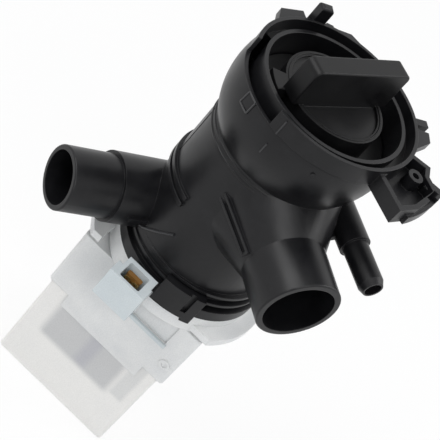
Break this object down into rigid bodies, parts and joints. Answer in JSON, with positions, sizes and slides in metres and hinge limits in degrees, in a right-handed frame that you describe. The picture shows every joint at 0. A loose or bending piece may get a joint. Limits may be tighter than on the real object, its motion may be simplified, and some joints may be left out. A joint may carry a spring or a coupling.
{
  "type": "washer drain pump",
  "caption": "Drain pump of a washing machine: black lint filter housing with spigots and a turning cap on a white motor.",
  "frame": {"origin": "on the pump axis at the rear face of the motor", "axes": "+Z along the pump axis from the motor to the filter cap, +X along the inlet spigot, -Y along the outlet spigot"},
  "size_m": [0.1185, 0.1286, 0.245],
  "materials": {
    "black_plastic": "satin",
    "grey_plastic": "matte",
    "white_plastic": "satin",
    "pale_plastic": "satin",
    "dark_plastic": "satin",
    "brown_plastic": "satin",
    "seal_rubber": "matte",
    "tinned_brass": "satin",
    "core_steel": "satin",
    "bright_steel": "polished",
    "winding_tape": "matte",
    "bush_ceramic": "matte",
    "magnet": "matte"
  },
  "bodies": {
    "housing": {"filter_housing": "black_plastic", "motor_flange": "white_plastic", "chamber_seal": "seal_rubber", "motor_frame": "white_plastic", "rear_cover": "white_plastic", "connector_shell": "pale_plastic", "terminal_carrier": "brown_plastic", "terminal_line": "tinned_brass", "terminal_neutral": "tinned_brass", "stator_core": "core_steel", "core_rivets": "bright_steel", "bobbin_front": "pale_plastic", "bobbin_back": "pale_plastic", "coil_front": "winding_tape", "coil_back": "winding_tape", "thermal_cutout": "dark_plastic", "rotor_can": "white_plastic", "front_bearing": "bush_ceramic", "rear_bearing": "bush_ceramic", "front_bearing_holder": "seal_rubber", "rear_bearing_holder": "seal_rubber"},
    "rotor": {"shaft": "bright_steel", "rotor_magnet": "magnet", "rotor_carrier": "dark_plastic", "front_thrust_washer": "bright_steel", "rear_thrust_washer": "bright_steel", "drive_dog": "dark_plastic", "impeller_clip": "bright_steel"},
    "impeller": {"impeller": "grey_plastic", "impeller_damper": "seal_rubber"},
    "filter_insert": {"strainer_basket": "grey_plastic"},
    "cap": {"cap_knob": "black_plastic", "cap_seal": "seal_rubber", "hub_pin": "bright_steel"}
  },
  "joints": [
    {"name": "rotor_spin", "type": "hinge", "parent": "housing", "child": "rotor", "pos_m": [0, 0, 0.0425], "axis": [0, 0, 1], "continuous": true},
    {"name": "impeller_play", "type": "hinge", "parent": "rotor", "child": "impeller", "pos_m": [0, 0, 0.122], "axis": [0, 0, 1], "range_deg": [-140, 140]},
    {"name": "filter_lift", "type": "slide", "parent": "housing", "child": "filter_insert", "axis": [0, 0, 1], "range_m": [0, 0.009]},
    {"name": "cap_turn", "type": "hinge", "parent": "filter_insert", "child": "cap", "pos_m": [0, 0, 0.21], "axis": [0, 0, 1], "range_deg": [0, 270]}
  ],
  "couplings": [
    {"joint": "filter_lift", "follows": "cap_turn", "m_per_rad": 0.0019099}
  ]
}
